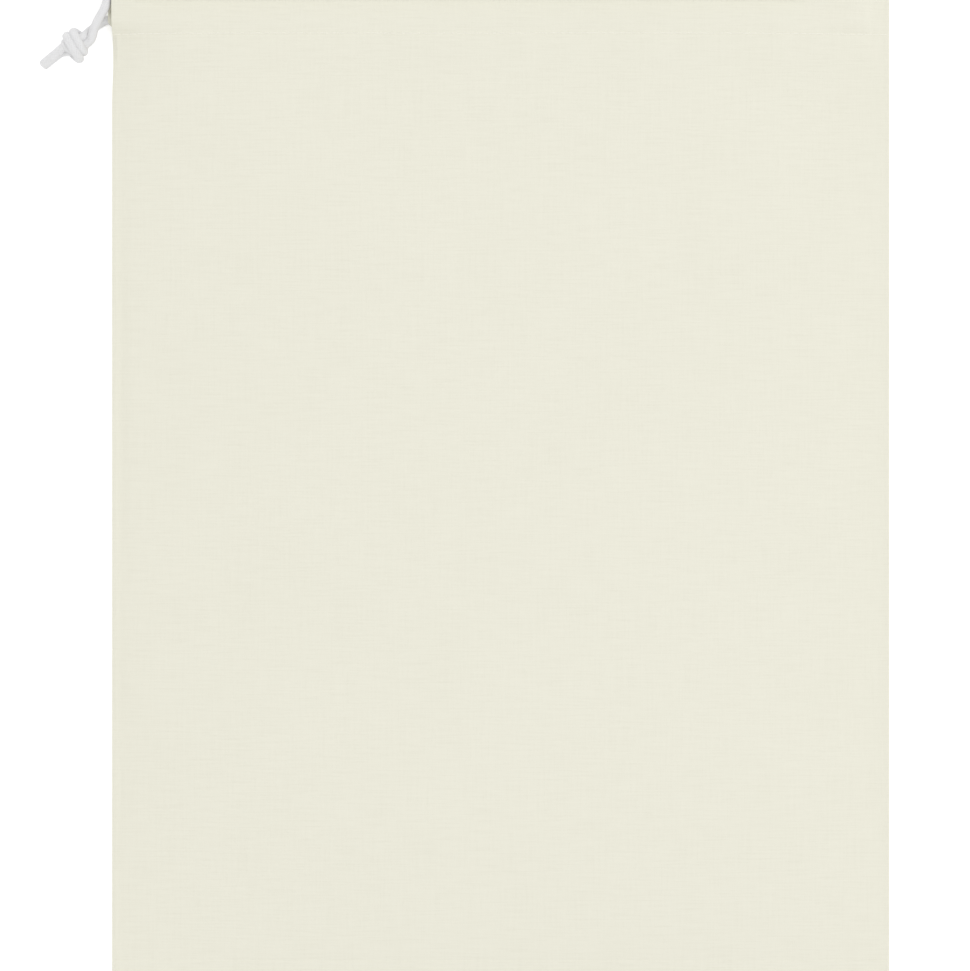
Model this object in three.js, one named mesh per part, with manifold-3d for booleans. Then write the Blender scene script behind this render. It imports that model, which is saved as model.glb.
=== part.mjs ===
// A flat cotton gift bag with a drawcord, lying on its back. Millimetres, +Z up.
// X runs across the bag, Y from its bottom seam to its mouth. The origin lies on the
// surface under the middle of the bag.
import * as THREE from 'three';
import { mergeVertices } from 'three/addons/utils/BufferGeometryUtils.js';
import Module from 'manifold-3d';

const wasm = await Module();
wasm.setup();

// Driving dimensions of the bag
const BAG_WIDTH = 300;
const BAG_HEIGHT = 400;
const CLOTH = 1.0; // thickness of one layer
const GAP = 0.3; // between pieces that lie on each other
const CASING_DEPTH = 30; // from the folded mouth down to the stitch line
const HEM_TURN = 2; // the hem reaches this far below its stitch line
const BOTTOM_ALLOWANCE = 12; // the turned edge inside the bottom seam
const ALLOWANCE_STEP = 0.45; // how far that turned edge raises the front
const ALLOWANCE_EDGE = 1.2; // the step down from it is this wide
const BODY_RISE = 11.2; // how far the front stands off the back in the middle
const BODY_REACH_SIDE = 125; // the front rises over this distance from a side seam
const BODY_REACH_BOTTOM = 95; // and over this distance from the bottom seam
const RISE_POWER = 2.4; // how much of that rise comes close to the seam
const MOUTH_HEIGHT = 12.1; // underside of the front's hem in the middle of the mouth
const MOUTH_REACH = 75; // the mouth opens over this distance from its two ends
const MOUTH_FADE = 80; // from this Y up the body takes the mouth's height
const FLANGE = 3; // width of the flat strip along a side seam
const SLOT_LIP = 1.5; // the back casing shows past the front at the cord slot
const SLOT_LIP_Y = 177.2; // where along the seam it shows most
const SLOT_LIP_REACH = 9; // how far into the bag that edge begins to lean out
const SLOT_LIP_HALF = 5.5; // half its height along the seam

// The front beside its left seam: a rounded roll on the seam and a furrow next to it
const SEAM_ROLL = { height: 0.3, inset: 1, width: 1.1 };
const SEAM_FURROW = { depth: 0.45, inset: 4, width: 2.2, y: 25, along: 75 };
const SWELL_MARGIN = 30; // the swells fade out over this distance from a seam
const HEM_LEAD = 16; // the front lifts over its hem's layers within this distance
const FOLD_LENGTH = 0.8; // the last of the folded mouth, where it is rounded
const FOLD_ROUND = { backUnder: 0.5, backTop: 0.9, frontUnder: 0.9, frontTop: 0.8 };

// Driving dimensions of the cord
const CORD = 3.6;
const CORD_RADIUS = CORD / 2;
const CORD_SIDES = 8;
const CASING_SLACK = 0.35; // room between the two layers of a casing
const CORD_ROOM = 4.25; // height of a casing's hollow over the cord, less that slack
const BACK_RIDGE = { below: 5, above: 9 }; // reach of the ridge that the cord pushes up
const FRONT_RIDGE = { below: 5, above: 8 };
const END_RIDGE = { below: 9, above: 8 }; // wider where the cord bends to its slot or its turn
const END_REACH = 20;
const BRIDGE = { below: 34, above: 12 }; // reach of the front's swell over the back casing's cord
const BRIDGE_MARGIN = 25; // near a side seam the swell is as short as the ridge
const FRONT_RUN = 187.6; // Y of the cord in the front casing
const BACK_RUN = 175.7; // Y of the cord in the back casing
const TURN_START = 130; // X where the cord begins its turn at the right side
const SLOT_INSIDE = 148.2; // the strands join the casing's cord just inside the slot
const FRONT_EXIT = 187.0; // Y where the front strand, already bending, joins the casing's cord

// Places that follow from those
const SIDE = BAG_WIDTH / 2;
const MOUTH = BAG_HEIGHT / 2;
const STITCH_LINE = MOUTH - CASING_DEPTH;
const HEM_EDGE = STITCH_LINE - HEM_TURN;
const TURN_RADIUS = (FRONT_RUN - BACK_RUN) / 2;
const POCKET_START = TURN_START - 4;
const POCKET_END = TURN_START + 12;
const CASING_FLOOR = STITCH_LINE + 1.2; // the casing's hollow, from the stitches
const CASING_FOLD = MOUTH - 1.4; // to the folded edge

// Helpers

const clamp01 = (t) => Math.min(1, Math.max(0, t));
const mix = (a, b, t) => a + (b - a) * t;

function smooth(from, to, value) {
  const t = clamp01((value - from) / (to - from));
  return t * t * (3 - 2 * t);
}

// How a loose cloth rises from a seam: steep at first, flat once it is `reach` away
function rise(distance, reach) {
  return 1 - Math.pow(1 - clamp01(distance / reach), RISE_POWER);
}

// The round ridge that a cord pushes up in cloth, 1 over the cord and 0 past its reach
function ridge(y, run, reach) {
  const t = clamp01(Math.abs(y - run) / (y < run ? reach.below : reach.above));
  return Math.pow(1 - t * t, 1.5);
}

const bell = (value, centre, width) => Math.exp(-(((value - centre) / width) ** 2));

// The cloth's shape, as heights over the surface

// The cord's ridges fade out past its turn, before the right side seam
const rightFade = (x) => 1 - smooth(TURN_START + 3, SIDE - 1, x);

// Hollow between the two layers of the back casing
function backHollow(x, y) {
  return CASING_SLACK + CORD_ROOM * ridge(y, BACK_RUN, BACK_RIDGE) * rightFade(x);
}

// Hollow between the two layers of the front casing
function frontHollow(x, y) {
  const nearSlot = 1 - smooth(-SIDE, -SIDE + END_REACH, x);
  const nearTurn = smooth(TURN_START - END_REACH, TURN_START, x);
  const atEnd = Math.max(nearSlot, nearTurn);
  const swell = mix(ridge(y, FRONT_RUN, FRONT_RIDGE), ridge(y, FRONT_RUN, END_RIDGE), atEnd);
  return CASING_SLACK + CORD_ROOM * swell * rightFade(x);
}

// 0 below the hem's edge and 1 above it
const onHem = (y) => smooth(HEM_EDGE - 0.2, HEM_EDGE + 0.1, y);

// 0 up to the folded edge's rounding and 1 at its very end
const onFold = (y) => smooth(MOUTH - FOLD_LENGTH, MOUTH, y);

function backTop(x, y) {
  const hollow = y > STITCH_LINE ? backHollow(x, y) : CASING_SLACK;
  return CLOTH + onHem(y) * (hollow + CLOTH) - FOLD_ROUND.backTop * onFold(y);
}

const backBottom = (x, y) => FOLD_ROUND.backUnder * onFold(y);

// How wide the mouth stands open at x: 1 in the middle, 0 where the hems touch
function mouthOpen(x) {
  return rise(Math.min(x + SIDE, POCKET_START - x), MOUTH_REACH);
}

// Shallow hollows and swells that the cloth keeps from being folded and carried
const SWELLS = [
  { x: -96, y: 96, along: 70, across: 16, turn: 0.5, height: -0.7 },
  { x: 88, y: 40, along: 85, across: 20, turn: -0.35, height: 0.6 },
  { x: -60, y: -70, along: 80, across: 18, turn: -0.7, height: -0.6 },
  { x: 70, y: -96, along: 60, across: 17, turn: 0.85, height: -0.6 },
  { x: 8, y: 128, along: 95, across: 12, turn: 0.06, height: -0.6 },
  { x: 20, y: -20, along: 60, across: 24, turn: 0.25, height: 0.5 },
];

function swellHeight(x, y) {
  let height = 0;
  for (const swell of SWELLS) {
    const along = (x - swell.x) * Math.cos(swell.turn) + (y - swell.y) * Math.sin(swell.turn);
    const across = (y - swell.y) * Math.cos(swell.turn) - (x - swell.x) * Math.sin(swell.turn);
    height += swell.height * bell(along, 0, swell.along) * bell(across, 0, swell.across);
  }
  return height;
}

// How the front bridges the cord in the back casing below it
function cordBridge(x, y) {
  const offSeam = smooth(0, BRIDGE_MARGIN, SIDE - FLANGE - Math.abs(x));
  const swell = mix(ridge(y, BACK_RUN, BACK_RIDGE), ridge(y, BACK_RUN, BRIDGE), offSeam);
  return CORD_ROOM * swell * rightFade(x);
}

// Underside of the front's outer layer below the casing
function bodyUnderside(x, y) {
  const fromSide = SIDE - FLANGE - Math.abs(x);
  const fromBottom = y + MOUTH - FLANGE;
  const body = BODY_RISE * rise(fromSide, BODY_REACH_SIDE) * rise(fromBottom, BODY_REACH_BOTTOM);
  const atHem = mouthOpen(x) * (MOUTH_HEIGHT - (2 * CLOTH + CASING_SLACK + GAP));
  const standing = mix(body, atHem, smooth(MOUTH_FADE, HEM_EDGE, y));
  const inside = smooth(0, SWELL_MARGIN, fromSide) * smooth(0, SWELL_MARGIN, fromBottom);
  const hemLayers = (CLOTH + CASING_SLACK) * smooth(HEM_EDGE - HEM_LEAD, HEM_EDGE - 1, y);
  const overCord = (1 - mouthOpen(x)) * cordBridge(x, y);
  return CLOTH + GAP + standing + overCord + inside * swellHeight(x, y) + hemLayers;
}

// Underside of the front's hem, which lies on the back's hem where the mouth is shut
function hemUnderside(x, y) {
  const onBack = CLOTH + CASING_SLACK + cordBridge(x, y) + CLOTH + GAP;
  return mix(onBack, MOUTH_HEIGHT, mouthOpen(x));
}

function frontBottom(x, y) {
  const hem = hemUnderside(x, Math.max(y, STITCH_LINE));
  return mix(bodyUnderside(x, y), hem, onHem(y)) + FOLD_ROUND.frontUnder * onFold(y);
}

// The front's body on its outer side, with its seams and the turned edge at the bottom
function bodyTop(x, y) {
  const roll = SEAM_ROLL.height * bell(x, SEAM_ROLL.inset - SIDE, SEAM_ROLL.width);
  const furrow = SEAM_FURROW.depth * bell(x, SEAM_FURROW.inset - SIDE, SEAM_FURROW.width);
  const furrowThere = bell(y, SEAM_FURROW.y, SEAM_FURROW.along);
  const fromAllowance = y + MOUTH - BOTTOM_ALLOWANCE;
  const allowance = ALLOWANCE_STEP * (1 - smooth(0, ALLOWANCE_EDGE, fromAllowance));
  return bodyUnderside(x, y) + CLOTH + roll - furrow * furrowThere + allowance;
}

function frontTop(x, y) {
  if (y <= HEM_EDGE) return bodyTop(x, y);
  const hollow = y > STITCH_LINE ? frontHollow(x, y) : CASING_SLACK;
  const hem = hemUnderside(x, Math.max(y, STITCH_LINE));
  return hem + CLOTH + hollow + CLOTH - FOLD_ROUND.frontTop * onFold(y);
}

// Where the layers end: the back casing stands a little proud at the cord slot
function slotLip(x, y) {
  const near = 1 - smooth(-SIDE, -SIDE + SLOT_LIP_REACH, x);
  return SLOT_LIP * near * bell(y, SLOT_LIP_Y, SLOT_LIP_HALF);
}

// A closed solid between two heights over a grid of x stations and y rows
function between(stations, rows, bottom, top, lip = () => 0) {
  const points = [];
  for (const height of [bottom, top]) {
    for (const x of stations) {
      for (const y of rows) points.push(x - lip(x, y), y, height(x, y));
    }
  }
  const across = stations.length;
  const deep = rows.length;
  const at = (i, j, layer) => layer * across * deep + i * deep + j;
  const faces = [];
  const quad = (a, b, c, d) => faces.push(a, b, c, a, c, d);
  for (let i = 0; i < across - 1; i += 1) {
    for (let j = 0; j < deep - 1; j += 1) {
      quad(at(i, j, 1), at(i + 1, j, 1), at(i + 1, j + 1, 1), at(i, j + 1, 1));
      faces.push(at(i, j, 0), at(i + 1, j + 1, 0), at(i + 1, j, 0));
      faces.push(at(i, j, 0), at(i, j + 1, 0), at(i + 1, j + 1, 0));
    }
  }
  for (let i = 0; i < across - 1; i += 1) {
    quad(at(i, 0, 0), at(i + 1, 0, 0), at(i + 1, 0, 1), at(i, 0, 1));
    quad(at(i, deep - 1, 1), at(i + 1, deep - 1, 1), at(i + 1, deep - 1, 0), at(i, deep - 1, 0));
  }
  for (let j = 0; j < deep - 1; j += 1) {
    quad(at(0, j, 1), at(0, j + 1, 1), at(0, j + 1, 0), at(0, j, 0));
    quad(at(across - 1, j, 0), at(across - 1, j + 1, 0), at(across - 1, j + 1, 1), at(across - 1, j, 1));
  }
  const geometry = new THREE.BufferGeometry();
  geometry.setAttribute('position', new THREE.Float32BufferAttribute(points, 3));
  geometry.setIndex(faces);
  return geometry;
}

function toSolid(geometry) {
  const plain = geometry.clone();
  plain.deleteAttribute('normal');
  plain.deleteAttribute('uv');
  const merged = mergeVertices(plain, 1e-5);
  const vertProperties = new Float32Array(merged.attributes.position.array);
  const triVerts = new Uint32Array(merged.index.array);
  return new wasm.Manifold(new wasm.Mesh({ numProp: 3, vertProperties, triVerts }));
}

function toGeometry(solid) {
  const mesh = solid.getMesh();
  const geometry = new THREE.BufferGeometry();
  geometry.setAttribute('position', new THREE.Float32BufferAttribute(mesh.vertProperties, 3));
  geometry.setIndex(Array.from(mesh.triVerts));
  return geometry;
}

// Rows and stations, close where the cloth bends and wide where it lies flat

function steps(from, to, count) {
  return Array.from({ length: count }, (_, i) => from + ((to - from) * i) / (count - 1));
}

const SEAM_OFFSETS = [0, 1, 2, 4, 6.5, 11];
const CASING_ROWS = [
  CASING_FLOOR, 172.7, 174.2, BACK_RUN, 177.4, 179.6, 182.2, 184.6, 186.2, FRONT_RUN,
  189.1, 191.4, 193.8, 196.4, CASING_FOLD,
];
const FOLD_ROWS = [MOUTH - FOLD_LENGTH, MOUTH - 0.3, MOUTH];
const HEM_ROWS = [HEM_EDGE - HEM_LEAD, HEM_EDGE - 4, HEM_EDGE - 0.2, HEM_EDGE + 0.1, STITCH_LINE];
const leftSeam = SEAM_OFFSETS.map((offset) => -SIDE + offset);
const rightSeam = [POCKET_START, 133, 137, POCKET_END, 145, 147, 148, 149, SIDE];

const FRONT_STATIONS = [...leftSeam, ...steps(-128, 115, 17), ...rightSeam];
const FRONT_ROWS = [
  -MOUTH, -MOUTH + 1, -MOUTH + 3, -MOUTH + 7, -MOUTH + BOTTOM_ALLOWANCE,
  -MOUTH + BOTTOM_ALLOWANCE + ALLOWANCE_EDGE, ...steps(-176, 144, 17),
  ...HEM_ROWS, ...CASING_ROWS, ...FOLD_ROWS,
];
const BACK_STATIONS = [-SIDE, -147, -143, -SIDE + 10, -60, 40, ...rightSeam];
const BACK_ROWS = [-MOUTH, 0, 120, ...HEM_ROWS.slice(2), ...CASING_ROWS, ...FOLD_ROWS];

const pastLeft = (stations) => [-SIDE - 4, ...stations.filter((x) => x > -SIDE && x <= POCKET_START)];
const inPocket = [POCKET_START - 0.5, 133, 137, POCKET_END];

function backPanel() {
  const floor = () => CLOTH;
  const roof = (x, y) => CLOTH + backHollow(x, y);
  const above = () => 30;
  const cloth = toSolid(between(BACK_STATIONS, BACK_ROWS, backBottom, backTop, slotLip));
  const casing = toSolid(between(pastLeft(BACK_STATIONS), CASING_ROWS, floor, roof));
  const pocket = toSolid(between(inPocket, CASING_ROWS, floor, above));
  return toGeometry(cloth.subtract(casing).subtract(pocket));
}

function frontPanel() {
  const floor = (x, y) => hemUnderside(x, y) + CLOTH;
  const roof = (x, y) => floor(x, y) + frontHollow(x, y);
  const below = () => -5;
  const cloth = toSolid(between(FRONT_STATIONS, FRONT_ROWS, frontBottom, frontTop));
  const casing = toSolid(between(pastLeft(FRONT_STATIONS), CASING_ROWS, floor, roof));
  const pocket = toSolid(between(inPocket, CASING_ROWS, below, roof));
  return toGeometry(cloth.subtract(casing).subtract(pocket));
}

// The cord

const point = (x, y, z) => new THREE.Vector3(x, y, z);

// A round cord along a curve, closed at both ends
function cordAlong(curve, stepCount, sides = CORD_SIDES) {
  const section = new THREE.Shape();
  for (let i = 0; i < sides; i += 1) {
    const angle = ((i + 0.5) / sides) * 2 * Math.PI;
    const x = CORD_RADIUS * Math.cos(angle);
    const y = CORD_RADIUS * Math.sin(angle);
    if (i === 0) section.moveTo(x, y);
    else section.lineTo(x, y);
  }
  section.closePath();
  return new THREE.ExtrudeGeometry(section, { steps: stepCount, bevelEnabled: false, extrudePath: curve });
}

// Height of the cord's centre as it lies in the front casing
const CORD_LIFT = CASING_SLACK + CORD_RADIUS;
const frontCordHeight = (x) => hemUnderside(x, FRONT_RUN) + CLOTH + CORD_LIFT;
const backCordHeight = CLOTH + CORD_LIFT;

// From the slot along the front casing, round the turn at the right and back
function casingCord() {
  const route = [point(-SLOT_INSIDE, FRONT_EXIT, frontCordHeight(-SLOT_INSIDE))];
  const casingStations = [-143, -125, -105, -80, -50, -15, 20, 50, 75, 95, 112, 123];
  for (const x of casingStations) route.push(point(x, FRONT_RUN, frontCordHeight(x)));
  const turnHigh = frontCordHeight(TURN_START);
  for (let i = 0; i <= 6; i += 1) {
    const angle = Math.PI / 2 - (Math.PI * i) / 6;
    const x = TURN_START + TURN_RADIUS * Math.cos(angle);
    const y = (FRONT_RUN + BACK_RUN) / 2 + TURN_RADIUS * Math.sin(angle);
    route.push(point(x, y, mix(turnHigh, backCordHeight, i / 6)));
  }
  for (const x of [118, 80, 20, -50, -110, -SLOT_INSIDE]) route.push(point(x, BACK_RUN, backCordHeight));
  return cordAlong(new THREE.CatmullRomCurve3(route, false, 'centripetal'), 76);
}

// The knot's own directions: along from the neck to the tails, across to the upper left
const KNOT_PLACE = point(-163.8, 165.6, 5.7);
const KNOT_ALONG = point(-0.865, -0.502, 0).normalize();
const KNOT_ACROSS = point(-0.502, 0.865, 0).normalize();

// The pair of strands through the overhand knot, in the knot's own directions. side points
// from the back strand to the front strand, and each lies as far as apart from the middle.
const KNOT_ROUTE = [
  { along: -4.8, across: 0.0, up: 0.4, side: [0, -1, 0], apart: 1.5 },
  { along: -2.0, across: 0.0, up: 1.2, side: [0, -1, 0], apart: 1.4 },
  { along: 1.4, across: 0.2, up: 1.3, side: [0, -1, 0], apart: 1.4 },
  { along: 2.2, across: 1.9, up: 0.8, side: [0.75, -0.65, 0], apart: 1.4 },
  { along: 1.5, across: 3.3, up: -1.3, side: [0.95, 0.2, 0.2], apart: 1.4 },
  { along: 1.4, across: 2.0, up: -3.4, side: [1, 0, 0], apart: 1.4 },
  { along: 1.3, across: -0.4, up: -3.8, side: [1, 0, 0], apart: 1.5 },
  { along: 0.4, across: -3.5, up: -2.6, side: [0.88, -0.48, 0], apart: 1.6 },
  { along: -0.2, across: -4.6, up: 0.0, side: [0.88, -0.47, 0], apart: 1.6 },
  { along: -0.15, across: -3.5, up: 2.8, side: [0.88, -0.48, 0], apart: 1.45 },
  { along: -0.1, across: -0.2, up: 3.9, side: [1, 0, 0], apart: 1.4 },
  { along: -0.2, across: 3.7, up: 2.9, side: [1, 0, 0], apart: 1.4 },
  { along: -0.4, across: 5.2, up: 0.2, side: [1, 0, 0], apart: 1.5 },
  { along: -1.2, across: 3.7, up: -2.6, side: [1, 0, 0], apart: 1.5 },
  { along: -2.6, across: 0.8, up: -3.2, side: [0.9, 0.3, 0], apart: 1.4 },
  { along: -2.4, across: -0.8, up: -1.8, side: [0.6, 0.8, 0], apart: 1.4 },
  { along: 0.2, across: -0.4, up: -1.3, side: [0, 1, 0], apart: 1.4 },
  { along: 3.4, across: 0.7, up: -1.6, side: [0, 0.85, 0.5], apart: 1.5 },
  { along: 5.8, across: 1.3, up: -1.9, side: [0, 0.25, 0.97], apart: 1.6 },
];

// From each slot to the knot: the front strand crosses over the back one
const STRAND_START = -SLOT_INSIDE - GAP;
const STRAND_LEAD = -149.3; // the strands run on straight as far as this
const FRONT_NECK = [
  [STRAND_START, FRONT_EXIT - 0.04, frontCordHeight(STRAND_START)],
  [STRAND_LEAD, 186.84, frontCordHeight(STRAND_LEAD)],
  [-150.6, 185.9, 6.0],
  [-151.4, 184.1, 6.3],
  [-152.3, 180.5, 7.0],
  [-155.2, 175.3, 6.8],
  [-157.0, 171.1, 6.5],
  [-157.6, 168.0, 6.4],
];
const BACK_NECK = [
  [STRAND_START, BACK_RUN, backCordHeight],
  [STRAND_LEAD, BACK_RUN, backCordHeight],
  [-151.0, 175.9, 3.0],
  [-153.4, 175.1, 2.5],
  [-156.2, 173.2, 2.1],
  [-158.7, 171.4, 2.3],
  [-160.1, 169.8, 4.0],
];
const FRONT_TAIL = [[8.2, 1.2, 0.15], [12.0, 0.6, 0.2], [15.1, 0.05, 0.2]];
const BACK_TAIL = [[8.2, 0.65, -3.8], [12.0, 0.1, -3.9], [15.0, -0.35, -3.9]];

function inKnot(along, across, up) {
  return KNOT_PLACE.clone()
    .addScaledVector(KNOT_ALONG, along)
    .addScaledVector(KNOT_ACROSS, across)
    .add(point(0, 0, up));
}

function strand(neck, tail, sign) {
  const route = neck.map((at) => point(...at));
  for (const { along, across, up, side, apart } of KNOT_ROUTE) {
    const shift = point(...side).normalize().multiplyScalar(sign * apart);
    route.push(inKnot(along + shift.x, across + shift.y, up + shift.z));
  }
  route.push(...tail.map((at) => inKnot(...at)));
  const curve = new THREE.CatmullRomCurve3(route, false, 'centripetal');
  const knotFrom = neck.length - 2;
  const knotTo = neck.length + KNOT_ROUTE.length - 0.4;
  return { curve, knotFrom, knotTo, last: route.length - 1 };
}

// The stretch of a strand between two of its route points; a fraction lies between points
class Stretch extends THREE.Curve {
  constructor(curve, from, to, last) {
    super();
    this.ends = [from / last, to / last];
    this.curve = curve;
  }

  getPoint(t, target = new THREE.Vector3()) {
    return this.curve.getPoint(mix(this.ends[0], this.ends[1], t), target);
  }
}

const frontStrand = strand(FRONT_NECK, FRONT_TAIL, 1);
const backStrand = strand(BACK_NECK, BACK_TAIL, -1);
const END_GAP = 0.19; // of the way between two route points, about 0.4 mm

const neckOf = ({ curve, knotFrom, last }) => cordAlong(new Stretch(curve, 0, knotFrom - END_GAP, last), 9);
const tailOf = ({ curve, knotTo, last }) => cordAlong(new Stretch(curve, knotTo + END_GAP, last, last), 4);

// The solid inside of the knot: how far along its middle lies, and its three radii
const KNOT_CORES = [
  { along: 0, radii: [4.5, 4.4, 4.0] },
  { along: -3.4, radii: [2.8, 2.9, 2.2] },
];

// Both strands through the overhand knot, pressed into one lump
function knot() {
  let solid = null;
  for (const { along, radii } of KNOT_CORES) {
    const core = new THREE.SphereGeometry(1, 12, 8);
    const place = inKnot(along, 0, 0);
    core.scale(...radii);
    core.rotateZ(Math.atan2(KNOT_ALONG.y, KNOT_ALONG.x));
    core.translate(place.x, place.y, place.z);
    solid = solid ? solid.add(toSolid(core)) : toSolid(core);
  }
  for (const { curve, knotFrom, knotTo, last } of [frontStrand, backStrand]) {
    const lengths = 10;
    const each = (knotTo - knotFrom) / lengths;
    for (let i = 0; i < lengths; i += 1) {
      const from = knotFrom + i * each;
      const to = Math.min(from + each + 0.2, knotTo);
      solid = solid.add(toSolid(cordAlong(new Stretch(curve, from, to, last), 4)));
    }
  }
  return toGeometry(solid);
}

// Finishes

const cotton = () => new THREE.MeshStandardMaterial({ color: 0xeceadb, roughness: 0.92, metalness: 0 });
const cordCotton = () => new THREE.MeshStandardMaterial({ color: 0xe6e5e0, roughness: 0.85, metalness: 0 });

function piece(name, geometry, material) {
  const mesh = new THREE.Mesh(geometry, material);
  mesh.name = name;
  return mesh;
}

const bag = new THREE.Group();
bag.add(piece('back_panel', backPanel(), cotton()));
bag.add(piece('front_panel', frontPanel(), cotton()));
bag.add(piece('casing_cord', casingCord(), cordCotton()));
bag.add(piece('front_strand', neckOf(frontStrand), cordCotton()));
bag.add(piece('back_strand', neckOf(backStrand), cordCotton()));
bag.add(piece('knot', knot(), cordCotton()));
bag.add(piece('front_tail', tailOf(frontStrand), cordCotton()));
bag.add(piece('back_tail', tailOf(backStrand), cordCotton()));

export default bag;
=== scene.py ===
"""A flat cotton gift bag with a drawcord, lying on its back, seen from straight above."""
import math
from bisect import bisect

import bpy
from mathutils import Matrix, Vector
from mathutils.noise import noise


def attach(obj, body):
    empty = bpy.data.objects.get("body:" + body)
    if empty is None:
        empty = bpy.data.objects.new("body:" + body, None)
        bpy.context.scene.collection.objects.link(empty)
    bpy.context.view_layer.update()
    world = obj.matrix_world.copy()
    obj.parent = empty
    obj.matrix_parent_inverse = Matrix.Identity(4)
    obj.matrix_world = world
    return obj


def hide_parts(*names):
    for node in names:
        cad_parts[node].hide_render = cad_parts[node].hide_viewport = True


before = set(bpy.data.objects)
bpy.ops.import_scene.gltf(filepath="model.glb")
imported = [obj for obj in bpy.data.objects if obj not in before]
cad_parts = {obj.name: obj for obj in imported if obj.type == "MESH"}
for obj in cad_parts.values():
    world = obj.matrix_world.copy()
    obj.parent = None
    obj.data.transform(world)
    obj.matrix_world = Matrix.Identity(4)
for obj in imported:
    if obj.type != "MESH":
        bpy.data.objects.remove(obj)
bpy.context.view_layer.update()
MM = 0.001

# The bag, as its pieces are built in the frame
SIDE = 150 * MM  # half the bag's width
MOUTH = 200 * MM  # from the middle of the bag to its mouth, and to its bottom seam
CLOTH = 1.0 * MM  # a layer of the frame's cloth, which holds this thinner one
GAP = 0.3 * MM
STITCH_LINE = 170 * MM
HEM_EDGE = 168 * MM
BOTTOM_ALLOWANCE = 12 * MM
ALLOWANCE_STEP = 0.45 * MM
BODY_RISE = 11.2 * MM  # how far the front stands off the back in the middle
BODY_REACH_SIDE = 125 * MM  # it rises over this distance from a side seam
BODY_REACH_BOTTOM = 95 * MM
RISE_POWER = 2.4
MOUTH_HEIGHT = 12.1 * MM
MOUTH_REACH = 75 * MM  # the mouth opens over this distance from its two ends
MOUTH_FADE = 80 * MM  # from here up the body takes the mouth's height
FLANGE = 3 * MM
SLOT_LIP = 1.5 * MM  # the back casing shows past the front at the cord slot
HEM_LIP = 1.9 * MM
SLOT_LIP_REACH = 9 * MM
SLOT_LIP_FROM = (173 * MM, 174.4 * MM)  # it begins and ends over these lengths of the seam
SLOT_LIP_TO = (180 * MM, 185 * MM)
SEAM_DRAW = 0.47 * MM  # the left seam is drawn in just below the casing
SEAM_DRAW_REACH = 12 * MM
SEAM_DRAW_FROM = (144 * MM, 160 * MM)
SEAM_DRAW_TO = (163.5 * MM, 175 * MM)
CASING_SLACK = 0.35 * MM
CORD_ROOM = 4.25 * MM  # over a cord the casing stands this much higher
FRONT_RUN = 187.6 * MM
BACK_RUN = 175.7 * MM
# Reach of a cord's ridge below and above the cord
BACK_RIDGE = (5 * MM, 9 * MM)
FRONT_RIDGE = (5 * MM, 8 * MM)
FRONT_END_RIDGE = (9 * MM, 8 * MM)  # where the cord bends to its slot or its turn
END_REACH = 20 * MM
# The same for the front, which bridges the cord in the back casing below it
STEEP_BRIDGE = (6.5 * MM, 12 * MM)
LONG_BRIDGE = (34 * MM, 12 * MM)
BRIDGE_MARGIN = 25 * MM
TURN_START = 130 * MM
POCKET_START = TURN_START - 4 * MM
POCKET_END = TURN_START + 12 * MM
RIGHT_FADE = (TURN_START + 3 * MM, SIDE - 1 * MM)  # the cord's ridges fade out here
RIGHT_PINCH = (POCKET_END - 2 * MM, SIDE - 2 * MM)
SLOT_INSIDE = 148.2 * MM
FRONT_EXIT = 187.0 * MM  # the front strand already bends towards the knot inside its slot

# The cloth as it is sewn
SHEET = 0.5 * MM  # thickness of the cotton cloth
SEAM_MIDDLE = 1.15 * MM  # height at which front and back meet along the side seams
SEAM_GROOVE = 0.01 * MM
PINCH_LIFT = 0.05 * MM  # the pinched casing's underside lies this far above that height
ROLL_FULLNESS = 0.5  # 1 rolls an edge in a half circle, less gives it a flatter side
HEM_PAIR = 1.1 * MM  # outer layer and hem where they are stitched together
RIDGE_HEIGHT = 4.4 * MM  # the cloth over the cord in its casing
STITCH_DIP = 0.05 * MM
STITCH_DIP_WIDTH = 1.0 * MM
BACK_STITCH_DIP = 0.3 * MM  # the back is pulled up off the table along its stitches
SEAM_ROLL = 0.3 * MM  # the left seam, turned inside, stands up a little along its edge
SEAM_ROLL_PLACE = (-SIDE + 1 * MM, 1.1 * MM)  # its middle across the bag and its width
SEAM_FURROW = 0.45 * MM  # and the cloth dips beside it
FURROW_PLACE = (-SIDE + 4 * MM, 2.2 * MM)
FURROW_STRETCH = (25 * MM, 75 * MM)  # its middle along the bag and its half length
HEM_LEAD = (HEM_EDGE - 16 * MM, HEM_EDGE - 1 * MM)  # the front lifts over its hem's layers
ALLOWANCE_SLOPE = 1.2 * MM  # length of the step over the bottom seam's allowance
TO_CASING = (HEM_EDGE - 2 * MM, STITCH_LINE + 1 * MM)  # the body's height becomes the casing's
CASING_SWELL = 0.6 * MM  # the casing's two layers part by this above the stitches
CASING_SWELL_REACH = 6 * MM
GATHER_SHARE = 0.35  # of the stitches' dip, in small gathers across their row
GATHER_LENGTH = 2.6 * MM
GATHER_REACH = 4.5 * MM
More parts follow.
